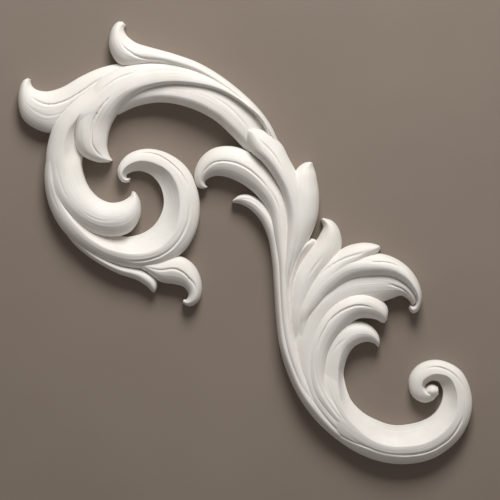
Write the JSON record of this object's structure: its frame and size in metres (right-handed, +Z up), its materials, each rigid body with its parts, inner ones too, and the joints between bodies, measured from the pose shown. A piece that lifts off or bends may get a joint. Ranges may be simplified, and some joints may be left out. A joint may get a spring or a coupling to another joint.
{
  "type": "scroll onlay",
  "caption": "Carved scroll onlay: a stem of acanthus leaves that arches over into an open C scroll and runs down into a volute, with a flat back for fixing to a panel.",
  "frame": {"origin": "the mounting point on the flat back, behind the narrow middle of the stem", "axes": "+Z up as it hangs on a wall, +X to the right as seen from the front, +Y out of the flat back into the wall; the carving stands out towards -Y"},
  "size_m": [0.2948, 0.023, 0.2879],
  "materials": {
    "white_paint": "matt off-white paint over carved wood"
  },
  "bodies": {
    "root": {"scroll_onlay": "white_paint"}
  },
  "joints": []
}
